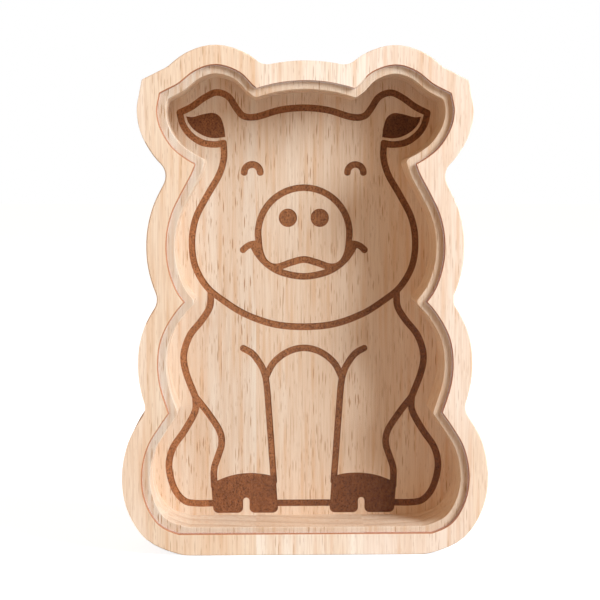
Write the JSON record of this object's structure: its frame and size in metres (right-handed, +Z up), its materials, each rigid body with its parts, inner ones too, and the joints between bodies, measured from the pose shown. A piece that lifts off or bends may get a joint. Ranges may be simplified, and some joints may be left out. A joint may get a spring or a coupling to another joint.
{
  "type": "money box",
  "caption": "Free-standing wooden coin bank shaped like a sitting pig, milled as one deep pocket with an engraved back, a coin slot on top and a clear lift-out front pane.",
  "frame": {"origin": "middle of the base, on the surface the box stands on, halfway through its thickness", "axes": "+Z up, the engraved and glazed front faces -Y, +X to the right as seen from the front"},
  "size_m": [0.152, 0.035, 0.2105],
  "materials": {
    "board": "fine-sanded, lightly oiled pale hardwood; the species is a guess",
    "pane": "clear and polished, taken to be acrylic"
  },
  "bodies": {
    "block": {"stave_far_left": "board", "stave_left": "board", "stave_centre": "board", "stave_right": "board", "stave_far_right": "board"},
    "pane": {"front_pane": "pane"}
  },
  "joints": [
    {"name": "pane_lift", "type": "slide", "parent": "block", "child": "pane", "axis": [0, -1, 0], "range_m": [0, 0.03]}
  ]
}
